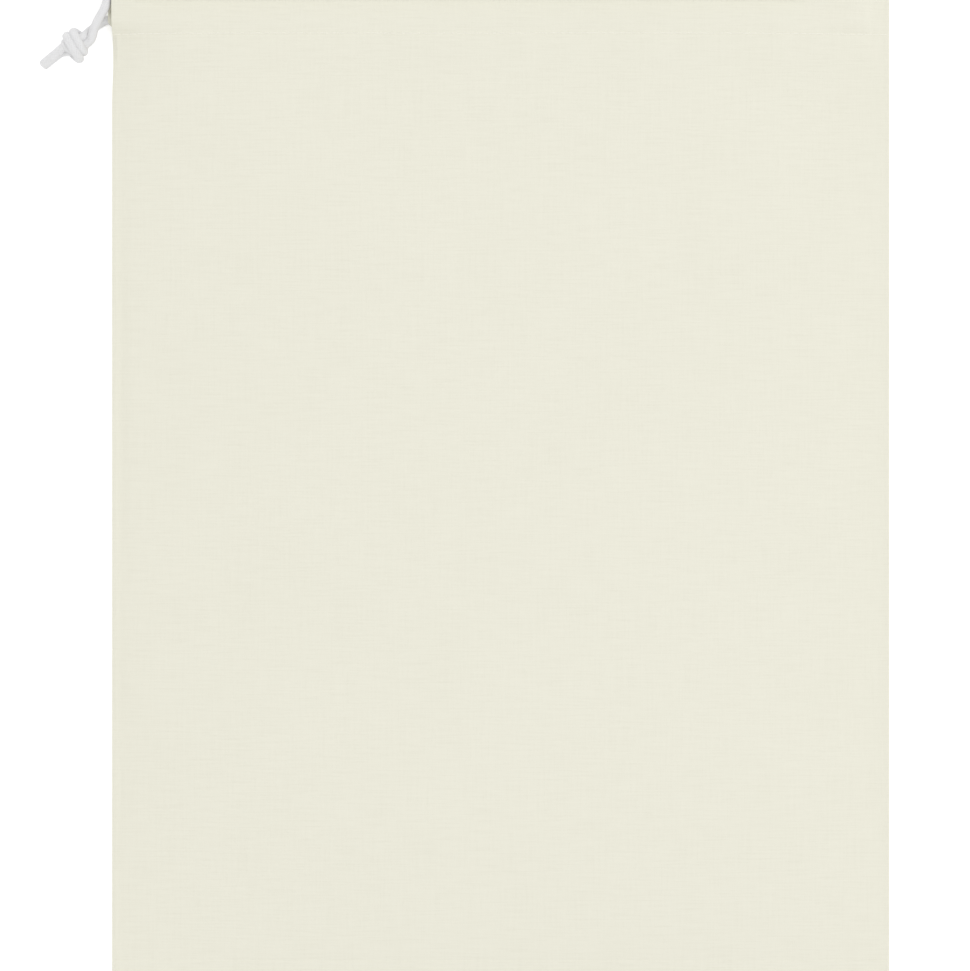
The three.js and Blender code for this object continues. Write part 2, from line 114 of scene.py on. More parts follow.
# Unevenness of handled cloth: its size along x and y, and its height
HANDLED_WIDE = (42 * MM, 30 * MM, 0.16 * MM)
HANDLED_FINE = (15 * MM, 13 * MM, 0.05 * MM)
SWELL_MARGIN = 30 * MM  # the swells fade out over this distance from a seam
ROLL_MOST = 1.1 * MM  # how far in from its edge a roll begins
ROLL_LEAST = 0.1 * MM  # smallest radius of a roll
ROLL_STEPS = 7
ROLL_LENGTH = 0.4 * MM  # of cloth, for each radian that an edge rolls
EDGE_INSET = 0.8 * MM  # an edge takes its height from the cloth this far in
SEAM_TUCK = 1.0 * MM
SLOT_ROLL = 0.3 * MM  # radius of the turned edge at the open end of a casing
SLOT_BEGINS = (STITCH_LINE - 1.5 * MM, STITCH_LINE + 1.5 * MM)
FOLD_STEPS = 7
FOLD_CREST = 1.4 * MM  # the mouth's fold is as thick as the casing is this far below it
FOLD_REACH = 2.2 * MM  # the rows of the fold begin and end this far below the mouth
FLATTEN = (MOUTH - 5 * MM, MOUTH - 2.4 * MM)  # the rolled side edges end in the fold
HEM_SPACING = 1.3 * MM
HEM_INSET = 0.9 * MM  # the hem's ends stay this far inside the seam
HEM_STEP = 0.08 * MM
FRONT_SPACING = 2.2 * MM  # between the columns of each cloth's mesh
BACK_SPACING = 3.4 * MM
EDGE_BAND = 12 * MM  # the columns stand closer together this near a side seam
EDGE_SPACING = 0.75 * MM
EDGE_START = 1.5 * MM  # the last column before the rolled edge
POCKET_FOOT = 2.5 * MM  # the pocket's opening ends this far above the stitches
POCKET_TOP = 4 * MM  # and this far below the mouth

# The cord
CORD = 3.6 * MM
CORD_RADIUS = CORD / 2
BRAID_STRANDS = 12  # running each way round the cord
BRAID_LAY = 1.0 * MM
BRAID_RELIEF = 0.13 * MM
END_TAPER = 0.22  # how much narrower a cut end is, over a short length
END_TAPER_LENGTH = 0.7 * MM
YARN_END = 0.55 * MM  # size of the uneven yarn ends in a cut, and how far they stand out
YARN_END_RISE = 0.16 * MM
# The rings that close a cut end: share of the radius, and how far each stands out
CUT_END_RINGS = ((0.72, 0.16 * MM), (0.4, 0.24 * MM), (0.14, 0.2 * MM))
CUT_END_TIP = 0.22 * MM

# The stitches that hold the hem
STITCH_PITCH = 3.2 * MM
STITCH_LENGTH = 2.75 * MM
THREAD_RADIUS = 0.2 * MM
BOW_HEIGHT = 0.12 * MM  # the thread is drawn half into the cloth
BOW_STEPS = 7
THREAD_SIDES = 6
STITCH_MARGIN = 2.2 * MM  # a row begins and ends this far inside the bag's sides
STITCH_WANDER = 0.12 * MM  # how far the row wanders from straight, in waves of this length
STITCH_WANDER_LENGTH = 25 * MM
STITCH_SWAY = Vector((0.04, 0.03, 0.05))  # most that one stitch is turned, in radians
STITCH_SEED = 11


# Helpers


def clamp01(t):
    return min(1.0, max(0.0, t))


def mix(a, b, t):
    return a + (b - a) * t


def smooth(start, end, value):
    t = clamp01((value - start) / (end - start))
    return t * t * (3 - 2 * t)


def bell(value, centre, width):
    return math.exp(-(((value - centre) / width) ** 2))


def rise(distance, reach):
    """How a loose cloth rises from a seam: steep at first, flat once it is reach away."""
    return 1 - (1 - clamp01(distance / reach)) ** RISE_POWER


def ridge(y, run, reaches):
    """The round ridge that a cord pushes up in cloth: 1 over the cord, 0 past its reach."""
    t = clamp01(abs(y - run) / reaches[0 if y < run else 1])
    return (1 - t * t) ** 1.5


def steps(start, end, spacing):
    """Evenly spaced values from start to end, no further apart than spacing."""
    count = max(1, math.ceil(abs(end - start) / spacing - 1e-6))
    return [start + (end - start) * i / count for i in range(count + 1)]


def link_object(name, data):
    piece = bpy.data.objects.new(name, data)
    bpy.context.collection.objects.link(piece)
    return piece


def make_mesh(name, vertices, faces, corner_uvs):
    """A smooth mesh whose UV map holds lengths on the cloth or cord, in metres."""
    mesh = bpy.data.meshes.new(name)
    mesh.from_pydata(vertices, [], faces)
    layer = mesh.uv_layers.new(name="flat")
    for face in mesh.polygons:
        for place, loop in enumerate(face.loop_indices):
            layer.data[loop].uv = corner_uvs[face.index][place]
        face.use_smooth = True
    mesh.update()
    return mesh


def finished(piece):
    """Turn a piece with its modifiers into one plain mesh."""
    graph = bpy.context.evaluated_depsgraph_get()
    mesh = bpy.data.meshes.new_from_object(piece.evaluated_get(graph))
    piece.modifiers.clear()
    piece.data = mesh
    return piece


# The camera, straight above the bag as the photograph was taken

CAMERA_AIM = (-6.06 * MM, -3.94 * MM)
VIEW_WIDTH = 374.5 * MM
AIM_HEIGHT = 1.2 * MM
LENS_MM = 250
SENSOR_MM = 36


def make_camera():
    lens = bpy.data.cameras.new("camera")
    lens.lens = LENS_MM
    lens.sensor_width = SENSOR_MM
    lens.sensor_fit = "HORIZONTAL"
    lens.clip_start = 0.01
    camera = link_object("camera", lens)
    camera.location = (*CAMERA_AIM, AIM_HEIGHT + VIEW_WIDTH * LENS_MM / SENSOR_MM)
    bpy.context.scene.camera = camera


make_camera()


# The heights of the cloth, which the cord's route needs too


def right_fade(x):
    return 1 - smooth(*RIGHT_FADE, x)


def back_hollow(x, y):
    return CASING_SLACK + CORD_ROOM * ridge(y, BACK_RUN, BACK_RIDGE) * right_fade(x)


def mouth_open(x):
    """How wide the mouth stands open at x: 1 in the middle, 0 where the hems touch."""
    return rise(min(x + SIDE, POCKET_START - x), MOUTH_REACH)


def hem_underside(x, y):
    """Underside of the front's hem in the frame, which the cord's route follows."""
    on_back = CLOTH + back_hollow(x, y) + CLOTH + GAP
    return mix(on_back, MOUTH_HEIGHT, mouth_open(x))


# The drawcord

CORD_LIFT = CASING_SLACK + CORD_RADIUS
BACK_CORD_HEIGHT = CLOTH + CORD_LIFT
KNOT_PLACE = Vector((-163.8, 165.6, 5.7)) * MM
KNOT_ALONG = Vector((-0.865, -0.502, 0)).normalized()
KNOT_ACROSS = Vector((-0.502, 0.865, 0)).normalized()

# The pair of strands through the overhand knot, in the knot's own directions, in
# millimetres: along, across and up, the side on which the front strand lies, and
# how far each strand lies from the middle of the pair.
KNOT_ROUTE = [
    ((-4.8, 0.0, 0.4), (0, -1, 0), 1.5),
    ((-2.0, 0.0, 1.2), (0, -1, 0), 1.4),
    ((1.4, 0.2, 1.3), (0, -1, 0), 1.4),
    ((2.2, 1.9, 0.8), (0.75, -0.65, 0), 1.4),
    ((1.5, 3.3, -1.3), (0.95, 0.2, 0.2), 1.4),
    ((1.4, 2.0, -3.4), (1, 0, 0), 1.4),
    ((1.3, -0.4, -3.8), (1, 0, 0), 1.5),
    ((0.4, -3.5, -2.6), (0.88, -0.48, 0), 1.6),
    ((-0.2, -4.6, 0.0), (0.88, -0.47, 0), 1.6),
    ((-0.15, -3.5, 2.8), (0.88, -0.48, 0), 1.45),
    ((-0.1, -0.2, 3.9), (1, 0, 0), 1.4),
    ((-0.2, 3.7, 2.9), (1, 0, 0), 1.4),
    ((-0.4, 5.2, 0.2), (1, 0, 0), 1.5),
    ((-1.2, 3.7, -2.6), (1, 0, 0), 1.5),
    ((-2.6, 0.8, -3.2), (0.9, 0.3, 0), 1.4),
    ((-2.4, -0.8, -1.8), (0.6, 0.8, 0), 1.4),
    ((0.2, -0.4, -1.3), (0, 1, 0), 1.4),
    ((3.4, 0.7, -1.6), (0, 0.85, 0.5), 1.5),
    ((5.8, 1.3, -1.9), (0, 0.25, 0.97), 1.6),
]
FRONT_NECK = [
    (-150.6, 185.9, 6.0), (-151.4, 184.1, 6.3), (-152.3, 180.5, 7.0),
    (-155.2, 175.3, 6.8), (-157.0, 171.1, 6.5), (-157.6, 168.0, 6.4),
]
BACK_NECK = [
    (-151.0, 175.9, 3.0), (-153.4, 175.1, 2.5), (-156.2, 173.2, 2.1),
    (-158.7, 171.4, 2.3), (-160.1, 169.8, 4.0),
]
FRONT_TAIL = [(8.2, 1.2, -0.4), (12.0, 0.6, -0.5), (15.1, 0.05, -0.45)]
BACK_TAIL = [(8.2, 0.65, -3.8), (12.0, 0.1, -3.9), (15.0, -0.35, -3.9)]
RING_STEP = 0.24 * MM
EASING_ROUNDS = 60
FREE_SIDES = 40
CASING_RING_STEP = 0.8 * MM
CASING_SIDES = 20
SLOT_LEAD = [(-147.0, 187.14), (-148.5, 186.96), (-149.3, 186.84)]  # the front strand's way out
FRONT_STATIONS = (-143, -125, -105, -80, -50, -15, 20, 50, 75, 95, 112, 123)
BACK_STATIONS = (118, 80, 20, -50, -110, -148.2)
TURN_STEPS = 6
CURVE_STEPS = 24  # between two points of a route


def front_cord_height(x):
    return hem_underside(x, FRONT_RUN) + CLOTH + CORD_LIFT


def in_knot(along, across, up):
    lift = Vector((0, 0, up * MM))
    return KNOT_PLACE + KNOT_ALONG * (along * MM) + KNOT_ACROSS * (across * MM) + lift


def strand_route(inside, neck, tail, sign):
    """Route points of one free strand, from inside its slot through the knot to its end."""
    route = [Vector(point) for point in inside]
    route += [Vector(point) * MM for point in neck]
    for middle, side, apart in KNOT_ROUTE:
        shift = Vector(side).normalized() * (sign * apart)
        route.append(in_knot(*(Vector(middle) + shift)))
    route += [in_knot(*point) for point in tail]
    return route


def casing_route():
    """From the slot along the front casing, round the turn at the right and back."""
    route = [Vector((-SLOT_INSIDE, FRONT_EXIT, front_cord_height(-SLOT_INSIDE)))]
    for x in FRONT_STATIONS:
        route.append(Vector((x * MM, FRONT_RUN, front_cord_height(x * MM))))
    turn_high = front_cord_height(TURN_START)
    middle = (FRONT_RUN + BACK_RUN) / 2
    radius = (FRONT_RUN - BACK_RUN) / 2
    for i in range(TURN_STEPS + 1):
        angle = math.pi / 2 - math.pi * i / TURN_STEPS
        height = mix(turn_high, BACK_CORD_HEIGHT, i / TURN_STEPS)
        x = TURN_START + radius * math.cos(angle)
        route.append(Vector((x, middle + radius * math.sin(angle), height)))
    for x in BACK_STATIONS:
        route.append(Vector((x * MM, BACK_RUN, BACK_CORD_HEIGHT)))
    return route


def curve_between(before, start, end, after, t):
    """A point of the smooth curve through four route points, between the middle two."""
    first, middle, last = (
        math.sqrt((b - a).length) for a, b in ((before, start), (start, end), (end, after))
    )
    across_start = (end - before) / (first + middle)
    across_end = (after - start) / (middle + last)
    leave = ((start - before) / first - across_start + (end - start) / middle) * middle
    arrive = ((end - start) / middle - across_end + (after - end) / last) * middle
    bend = (end - start) * 3 - leave * 2 - arrive
    twist = (start - end) * 2 + leave + arrive
    return start + leave * t + bend * (t * t) + twist * (t ** 3)


def evenly_along(route, spacing):
    """Points a fixed way apart on the smooth curve through the route's points."""
    ends = [route[0] * 2 - route[1]] + route + [route[-1] * 2 - route[-2]]
    fine = []
    for i in range(len(route) - 1):
        for part in range(CURVE_STEPS):
            fine.append(curve_between(*ends[i:i + 4], part / CURVE_STEPS))
    fine.append(route[-1])
    total = sum((b - a).length for a, b in zip(fine, fine[1:]))
    count = round(total / spacing)
    points = [fine[0]]
    walked = 0.0
    for a, b in zip(fine, fine[1:]):
        length = (b - a).length
        while len(points) < count and len(points) * total / count <= walked + length:
            points.append(a.lerp(b, (len(points) * total / count - walked) / length))
        walked += length
    points.append(fine[-1])
    return points


def eased(points):
    """The same path with its sharp bends eased, as a limp cord takes them."""
    for _ in range(EASING_ROUNDS):
        inner = [(a + b * 2 + c) / 4 for a, b, c in zip(points, points[1:], points[2:])]
        points = [points[0], *inner, points[-1]]
    return evenly_along(points, RING_STEP)


def length_of(points):
    return sum((b - a).length for a, b in zip(points, points[1:]))


def braid_height(turn, along):
    """Relief of a round braid, 0 in its grooves and 1 on its strands."""
    left = BRAID_STRANDS * turn + along / BRAID_LAY
    right = BRAID_STRANDS * turn - along / BRAID_LAY
    left_on_top = (math.floor(left) + math.floor(right)) % 2 == 0
    across, lengthwise = (left % 1, right % 1) if left_on_top else (right % 1, left % 1)
    crown = math.sin(math.pi * across) ** 0.7
    return crown * (0.5 + 0.5 * math.sin(math.pi * lengthwise))


def cord_mesh(name, points, sides):
    """A braided cord along points, with closed, softly rounded cut ends."""
    count = len(points)
    spacing = length_of(points) / (count - 1)
    ahead = (points[1] - points[0]).normalized()
    across = ahead.orthogonal().normalized()
    vertices = []
    uvs = []
    grooves = []
    for i, point in enumerate(points):
        new_ahead = (points[min(i + 1, count - 1)] - points[max(i - 1, 0)]).normalized()
        across = ahead.rotation_difference(new_ahead) @ across
        across = (across - new_ahead * across.dot(new_ahead)).normalized()
        ahead = new_ahead
        upward = ahead.cross(across)
        from_end = min(i, count - 1 - i) * spacing
        taper = 1 - END_TAPER * (1 - clamp01(from_end / END_TAPER_LENGTH)) ** 2
        for side in range(sides + 1):
            turn = side / sides
            relief = braid_height(turn, i * spacing)
            radius = (CORD_RADIUS - BRAID_RELIEF * (1 - relief)) * taper
            angle = 2 * math.pi * turn
            if side < sides:
                outward = across * math.cos(angle) + upward * math.sin(angle)
                vertices.append(point + outward * radius)
                grooves.append(1 - relief)
            uvs.append((turn * math.pi * CORD, i * spacing))
    faces = []
    corner_uvs = []
    for i in range(count - 1):
        for side in range(sides):
            after = (side + 1) % sides
            low = i * sides
            high = low + sides
            faces.append((low + side, low + after, high + after, high + side))
            at = i * (sides + 1) + side
            corner_uvs.append((uvs[at], uvs[at + 1], uvs[at + sides + 2], uvs[at + sides + 1]))
    for ring, outward in ((0, -1), (count - 1, 1)):
        close_cord_end(vertices, faces, corner_uvs, grooves, ring, outward, sides, points)
    mesh = make_mesh(name, vertices, faces, corner_uvs)
    # The groove depth of each point, which the cord's material turns into painted shade.
    layer = mesh.attributes.new("groove", "FLOAT", "POINT")
    layer.data.foreach_set("value", grooves)
    return mesh


def close_cord_end(vertices, faces, corner_uvs, grooves, ring, outward, sides, points):
    """The cut end of a cord: the yarn ends stand out a little, unevenly."""
    centre = points[ring]
    ahead = (points[ring] - points[ring - outward]).normalized()
    previous = [ring * sides + side for side in range(sides)]
    for share, bulge in CUT_END_RINGS:
        start = len(vertices)
        for side in range(sides):
            rim = vertices[ring * sides + side]
            place = centre.lerp(rim, share)
            uneven = 0.5 + noise(place / YARN_END)
            vertices.append(place + ahead * (bulge + YARN_END_RISE * uneven))
            # The cut end's points take a middling, uneven groove value, so the painted groove shade
            # darkens them too.
            grooves.append(0.35 + 0.4 * clamp01(uneven))
        current = list(range(start, start + sides))
        for side in range(sides):
            after = (side + 1) % sides
            quad = (previous[side], previous[after], current[after], current[side])
            add_end_face(vertices, faces, corner_uvs, quad, outward)
        previous = current
    tip = len(vertices)
    vertices.append(centre + ahead * CUT_END_TIP)
    grooves.append(0.6)
    for side in range(sides):
        triangle = (previous[side], previous[(side + 1) % sides], tip)
        add_end_face(vertices, faces, corner_uvs, triangle, outward)


def add_end_face(vertices, faces, corner_uvs, corners, outward):
    """Add one face of a cut end, turned so that it points out of the cord."""
    ordered = corners if outward > 0 else tuple(reversed(corners))
    faces.append(ordered)
    corner_uvs.append([(vertices[c].x, vertices[c].y) for c in ordered])


def make_cords():
    front_inside = [(x * MM, y * MM, front_cord_height(x * MM)) for x, y in SLOT_LEAD]
    back_inside = [(x * MM, BACK_RUN, BACK_CORD_HEIGHT) for x, y in SLOT_LEAD]
    front_route = strand_route(front_inside, FRONT_NECK, FRONT_TAIL, 1)
    back_route = strand_route(back_inside, BACK_NECK, BACK_TAIL, -1)
    front = eased(evenly_along(front_route, RING_STEP))
    back = eased(evenly_along(back_route, RING_STEP))
    hidden = evenly_along(casing_route(), CASING_RING_STEP)
    made = {}
    for key, name, points, sides in (
        ("front", "front_cord", front, FREE_SIDES),
        ("back", "back_cord", back, FREE_SIDES),
        ("hidden", "cord_in_casing", hidden, CASING_SIDES),
    ):
        made[key] = (link_object(name, cord_mesh(name, points, sides)), points)
    return made


cords = make_cords()
cord_pieces = [cord for cord, points in cords.values()]


# The two panels, thin sheets on the folds of the frame's cloth

# Shallow hollows and swells from folding: x, y, reach along, reach across, turn, height
SWELLS = [
    (-96, 96, 70, 16, 0.5, -0.7),
    (88, 40, 85, 20, -0.35, 0.6),
    (-60, -70, 80, 18, -0.7, -0.6),
    (70, -96, 60, 17, 0.85, -0.6),
    (8, 128, 95, 12, 0.06, -0.6),
    (20, -20, 60, 24, 0.25, 0.5),
]


def swell_height(x, y):
    height = 0.0
    for sx, sy, reach_along, reach_across, turn, lift in SWELLS:
        dx = x - sx * MM
        dy = y - sy * MM
        along = dx * math.cos(turn) + dy * math.sin(turn)
        across = dy * math.cos(turn) - dx * math.sin(turn)
        height += lift * MM * bell(along, 0, reach_along * MM) * bell(across, 0, reach_across * MM)
    return height


def handled(x, y, seed):
    """The slight unevenness of cloth that has been handled."""
    wide = noise(Vector((x / HANDLED_WIDE[0], y / HANDLED_WIDE[1], seed)))
    fine = noise(Vector((x / HANDLED_FINE[0], y / HANDLED_FINE[1], seed + 7.3)))
    return HANDLED_WIDE[2] * wide + HANDLED_FINE[2] * fine


def right_pinch(x):
    """Where the right side seam presses all the layers of the casing together."""
    return smooth(*RIGHT_PINCH, x)


def cord_bridge(x, y):
    """How the front bridges the cord in the back casing: in a long swell away from the seams."""
    steep = ridge(y, BACK_RUN, STEEP_BRIDGE)
    gentle = ridge(y, BACK_RUN, LONG_BRIDGE)
    off_seam = smooth(0, BRIDGE_MARGIN, SIDE - FLANGE - abs(x))
    return CORD_ROOM * mix(steep, gentle, off_seam) * right_fade(x)


def casing_underside(x, y):
    """Underside of the front's hem, as the thin cloth lies."""
    on_back = CLOTH + CASING_SLACK + cord_bridge(x, y) + CLOTH + GAP
    low = mix(on_back, MOUTH_HEIGHT, mouth_open(x))
    return mix(low, SEAM_MIDDLE + PINCH_LIFT, right_pinch(x))


def casing_swell(y):
    """The two layers of a casing part softly above their stitches."""
    return CASING_SWELL * smooth(STITCH_LINE, STITCH_LINE + CASING_SWELL_REACH, y)


def stitch_dip(x, y):
    """The groove that a row of stitches pulls, with small gathers across it."""
    gathers = GATHER_SHARE * noise(Vector((x / GATHER_LENGTH, 3.1, 0.7)))
    groove = bell(y, STITCH_LINE, STITCH_DIP_WIDTH)
    return STITCH_DIP * (groove + gathers * bell(y, STITCH_LINE, GATHER_REACH))


def front_body(x, y):
    """Top of the front's outer layer below the casing."""
    from_side = SIDE - FLANGE - abs(x)
    from_bottom = y + MOUTH - FLANGE
    body = BODY_RISE * rise(from_side, BODY_REACH_SIDE) * rise(from_bottom, BODY_REACH_BOTTOM)
    at_hem = mouth_open(x) * (MOUTH_HEIGHT - (2 * CLOTH + CASING_SLACK + GAP))
    standing = mix(body, at_hem, smooth(MOUTH_FADE, HEM_EDGE, y))
    standing += (1 - mouth_open(x)) * cord_bridge(x, y)
    inside = smooth(0, SWELL_MARGIN, from_side) * smooth(0, SWELL_MARGIN, from_bottom)
    over_hem = smooth(*HEM_LEAD, y) * (1 - right_pinch(x))
    seam_roll = SEAM_ROLL * bell(x, *SEAM_ROLL_PLACE)
    beside_seam = SEAM_FURROW * bell(x, *FURROW_PLACE) * bell(y, *FURROW_STRETCH)
    past_allowance = y + MOUTH - BOTTOM_ALLOWANCE
    over_allowance = ALLOWANCE_STEP * (1 - smooth(0, ALLOWANCE_SLOPE, past_allowance))
    cloth = CLOTH + GAP + standing + (CLOTH + CASING_SLACK) * over_hem + CLOTH
    unevenness = swell_height(x, y) + handled(x, y, 0.0)
    return cloth + inside * unevenness + seam_roll - beside_seam + over_allowance


def front_casing(x, y):
    """Top of the front's outer layer over the casing."""
    near_slot = 1 - smooth(-SIDE, -SIDE + END_REACH, x)
    near_turn = smooth(TURN_START - END_REACH, TURN_START, x)
    plain = ridge(y, FRONT_RUN, FRONT_RIDGE)
    at_end = ridge(y, FRONT_RUN, FRONT_END_RIDGE)
    over_cord = RIDGE_HEIGHT * mix(plain, at_end, max(near_slot, near_turn)) * right_fade(x)
    low = casing_underside(x, max(y, STITCH_LINE)) + HEM_PAIR
    soft = casing_swell(y) * (1 - right_pinch(x)) + handled(x, y, 4.0) * 0.6
    return low + over_cord + soft


def front_outer(x, y):
    """Middle of the front's outer layer."""
    top = mix(front_body(x, y), front_casing(x, y), smooth(*TO_CASING, y))
    return top - stitch_dip(x, y) - SHEET / 2


def front_hem(x, y):
    return casing_underside(x, y) + SHEET / 2


def back_outer(x, y):
    return SHEET / 2 + BACK_STITCH_DIP * bell(y, STITCH_LINE, STITCH_DIP_WIDTH)


def back_hem(x, y):
    over_cord = RIDGE_HEIGHT * ridge(y, BACK_RUN, BACK_RIDGE) * right_fade(x)
    soft = casing_swell(y) * 0.6 * (1 - right_pinch(x))
    return HEM_PAIR + over_cord + soft - SHEET / 2


def seam_draw(x, y, kind):
    """How far the cloth is drawn in at the left, past the end of the open casing."""
    along_seam = smooth(*SEAM_DRAW_FROM, y) * (1 - smooth(*SEAM_DRAW_TO, y))
    return -SEAM_DRAW * (1 - smooth(-SIDE, -SIDE + SEAM_DRAW_REACH, x)) * along_seam


def slot_lip(x, y, kind):
    """The back casing stands a little proud at the cord slot, its hem most of all."""
    along_slot = smooth(*SLOT_LIP_FROM, y) * (1 - smooth(*SLOT_LIP_TO, y))
    reach = HEM_LIP if kind == "hem" else SLOT_LIP
    lip = reach * (1 - smooth(-SIDE, -SIDE + SLOT_LIP_REACH, x)) * along_slot
    return lip + seam_draw(x, y, kind)


def edge_turns():
    """How far round the cloth has rolled at an edge, and how far in it is tucked."""
    turns = [(math.pi * i / ROLL_STEPS, 0.0) for i in range(ROLL_STEPS + 1)]
    return turns + [(math.pi, SEAM_TUCK)]


def panel_columns(spacing):
    """Places across the cloth: side (-1, 0 or 1), x, roll, tuck and step past the edge."""
    near = SIDE - EDGE_BAND
    right = steps(near, SIDE - EDGE_START, EDGE_SPACING)
    middle = [-x for x in reversed(right)] + steps(-near, near, spacing)[1:-1] + right
    rolled = [(SIDE, turn, tuck, i) for i, (turn, tuck) in enumerate(edge_turns())]
    columns = [(-1, -x, turn, tuck, i) for x, turn, tuck, i in reversed(rolled)]
    columns += [(0, x, 0.0, 0.0, 0) for x in middle]
    return columns + [(1, *edge) for edge in rolled]


def panel_rows(spacing):
    """Places along the cloth, from the rolled bottom edge to the mouth and down the hem."""
    allowance = -MOUTH + BOTTOM_ALLOWANCE
    rows = [("bottom", -MOUTH, turn) for turn, tuck in reversed(edge_turns()[:-1])]
    # Start, end and spacing of each stretch of rows
    stretches = [
        (-MOUTH + 1.5 * MM, allowance - 1 * MM, 1.1 * MM),
        (allowance - 1 * MM, allowance + 2.2 * MM, 0.4 * MM),
        (allowance + 2.2 * MM, HEM_EDGE - 10 * MM, spacing),
        (HEM_EDGE - 10 * MM, STITCH_LINE - 3 * MM, 1.0 * MM),
        (STITCH_LINE - 3 * MM, STITCH_LINE + 3 * MM, 0.4 * MM),
        (STITCH_LINE + 3 * MM, MOUTH - FOLD_REACH, 1.1 * MM),
    ]
    for start, end, apart in stretches:
        rows += [("outer", y, 0.0) for y in steps(start, end, apart)[:-1]]
    rows += [("fold", MOUTH, math.pi * i / FOLD_STEPS) for i in range(FOLD_STEPS + 1)]
    down = steps(MOUTH - FOLD_REACH, HEM_EDGE, HEM_SPACING)
    return rows + [("hem", y, 0.0) for y in down]


def roll_radius(facing, x, y, height):
    """Radius of the rolled edge at x, y, so that front and back meet at the seam's middle."""
    if facing > 0:
        to_middle = height - SHEET / 2 - (SEAM_MIDDLE + SEAM_GROOVE)
    else:
        to_middle = (SEAM_MIDDLE - SEAM_GROOVE) - (height + SHEET / 2)
    at_seam = max(ROLL_LEAST, to_middle / 2)
    slot = smooth(*SLOT_BEGINS, y) if x < 0 else 0.0
    return mix(at_seam, SLOT_ROLL, slot)


def roll_reach(turn):
    return max(0.0, math.sin(turn)) ** ROLL_FULLNESS


def panel_point(column, row, outer, hem, facing):
    """The middle of the cloth at a column and a row, and its place on the flat cut."""
    side, x, turn, tuck, step = column
    kind, y, row_turn = row
    flat_x = side * (SIDE - SHEET / 2 - HEM_INSET + HEM_STEP * step) if side else x
    u = side * (SIDE + ROLL_LENGTH * turn + tuck) if side else x
    if kind == "hem":
        return Vector((flat_x, y, hem(flat_x, y))), (u, 2 * MOUTH - y)
    if kind == "fold":
        crest = MOUTH - FOLD_CREST
        reach = abs(outer(flat_x, crest) - hem(flat_x, crest)) / 2
        start = MOUTH - SHEET / 2 - reach
        middle = (outer(flat_x, crest) + hem(flat_x, crest)) / 2
        height = middle + facing * reach * math.cos(row_turn)
        place = Vector((flat_x, start + reach * math.sin(row_turn), height))
        return place, (u, start + reach * row_turn)
    inner_x = side * (SIDE - EDGE_INSET) if side else x
    inner_y = max(y, -MOUTH + EDGE_INSET)
    height = outer(inner_x, inner_y)
    radius = roll_radius(facing, inner_x, inner_y, height)
    inward = min(radius, ROLL_MOST)
    most = max(turn, row_turn)
    rolled_x = side * (SIDE - SHEET / 2 - inward * (1 - roll_reach(turn)) - tuck) if side else x
    if kind == "bottom":
        rolled_y = -(MOUTH - SHEET / 2 - inward * (1 - roll_reach(row_turn)))
    else:
        rolled_y = y
    rolled_z = height - facing * radius * (1 - math.cos(most))
    flatten = smooth(*FLATTEN, y)
    v = rolled_y - ROLL_LENGTH * row_turn
    place = Vector((mix(rolled_x, flat_x, flatten), rolled_y, mix(rolled_z, height, flatten)))
    return place, (u, v)


def in_pocket(point):
    """The opening in the hem at the right through which the cord turns."""
    across = POCKET_START < point.x < POCKET_END
    return across and STITCH_LINE + POCKET_FOOT < point.y < MOUTH - POCKET_TOP


def make_panel(name, outer, hem, facing, spacing, past_left):
    columns = panel_columns(spacing)
    rows = panel_rows(spacing)
    vertices = []
    flat = []
    for column in columns:
        for row in rows:
            place, uv = panel_point(column, row, outer, hem, facing)
            place.x -= past_left(place.x, place.y, row[0])
            vertices.append(place)
            flat.append(uv)
    deep = len(rows)
    faces = []
    corner_uvs = []
    for i in range(len(columns) - 1):
        for j in range(deep - 1):
            at = i * deep + j
            if rows[j][0] == "hem" and in_pocket(vertices[at]):
                continue
            corners = [at, at + deep, at + deep + 1, at + 1]
            if facing < 0:
                corners.reverse()
            faces.append(corners)
            corner_uvs.append([flat[c] for c in corners])
    piece = link_object(name, make_mesh(name, vertices, faces, corner_uvs))
    thicken = piece.modifiers.new("cloth thickness", "SOLIDIFY")
    thicken.thickness = SHEET
    thicken.offset = 0.0
    return finished(piece)


front = make_panel("front_cloth", front_outer, front_hem, 1, FRONT_SPACING, seam_draw)
back = make_panel("back_cloth", back_outer, back_hem, -1, BACK_SPACING, slot_lip)


# The stitches that hold the hems


def add_node(tree, kind, **settings):
    node = tree.nodes.new(kind)
    for name, value in settings.items():
        setattr(node, name, value)
    return node


def calc(tree, operation, first, second=None):
    """A Math node; each value is a number or another node's output."""
    node = add_node(tree, "ShaderNodeMath", operation=operation)
    for socket, value in zip(node.inputs, (first, second)):
        if value is None:
            continue
        if isinstance(value, (int, float)):
            socket.default_value = value
        else:
            tree.links.new(value, socket)
    return node.outputs[0]


